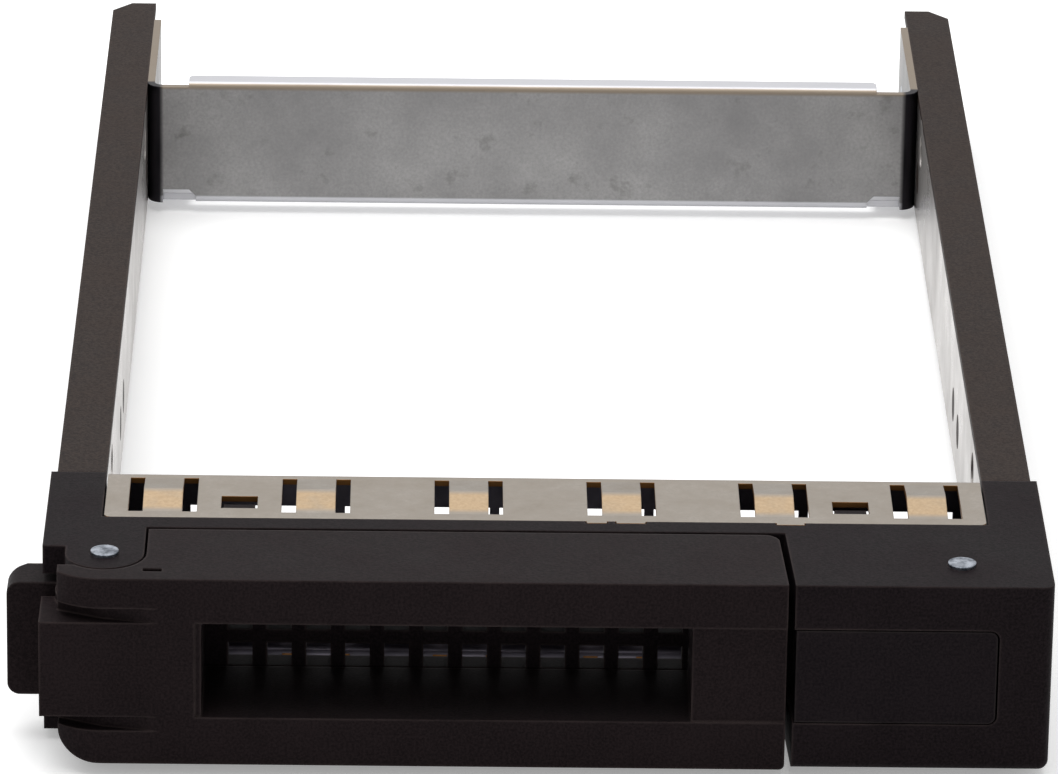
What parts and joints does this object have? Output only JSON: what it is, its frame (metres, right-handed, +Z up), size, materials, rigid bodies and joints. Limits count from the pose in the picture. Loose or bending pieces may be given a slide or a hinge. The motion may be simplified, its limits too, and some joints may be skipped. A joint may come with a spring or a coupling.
{
  "type": "hot swap drive caddy",
  "caption": "Carrier frame for a 2.5-inch drive: bezel with swinging cam lever, release button, contact shield, side rails and rear brace.",
  "frame": {"origin": "underside of the bezel, at the middle of its front edge", "axes": "+X to the right seen from the front, +Y from the bezel's face towards the rail tips, +Z up"},
  "size_m": [0.0822, 0.1387, 0.0167],
  "materials": {
    "bezel_plastic": "fine-grained dark grey-brown moulding",
    "lever_plastic": "fine-grained dark grey-brown moulding",
    "button_plastic": "fine-grained dark grey-brown moulding",
    "rail_plastic": "fine-grained dark grey-brown moulding",
    "bolt_plastic": "smooth black acetal",
    "shield_steel": "rolled stainless sheet",
    "plate_steel": "bright rolled sheet",
    "crossbar_steel": "dull plated sheet with stains",
    "pin_steel": "turned steel",
    "spring_steel": "drawn wire"
  },
  "bodies": {
    "carrier": {"front_housing": "bezel_plastic", "contact_shield": "shield_steel", "left_rail": "rail_plastic", "right_rail": "rail_plastic", "left_side_plate": "plate_steel", "right_side_plate": "plate_steel", "rear_crossbar": "crossbar_steel", "crossbar_rivets": "pin_steel", "lever_pin": "pin_steel", "button_pin": "pin_steel", "latch_spring": "spring_steel"},
    "lever": {"latch_lever": "lever_plastic"},
    "button": {"release_button": "button_plastic"},
    "bolt": {"latch_bolt": "bolt_plastic"}
  },
  "joints": [
    {"name": "lever_swing", "type": "hinge", "parent": "carrier", "child": "lever", "pos_m": [-0.0347, 0.0052, 0.00787], "axis": [0, 0, -1], "range_deg": [0, 50]},
    {"name": "button_press", "type": "hinge", "parent": "carrier", "child": "button", "pos_m": [0.0326, 0.0044, 0.00787], "axis": [0, 0, -1], "range_deg": [0, 8]},
    {"name": "bolt_slide", "type": "slide", "parent": "carrier", "child": "bolt", "axis": [1, 0, 0], "range_m": [0, 0.00145], "stiffness_N_per_m": 2, "springref_m": -0.002, "deforming": ["latch_spring"]}
  ],
  "couplings": [
    {"joint": "button_press", "follows": "bolt_slide", "rad_per_m": 96.3}
  ]
}
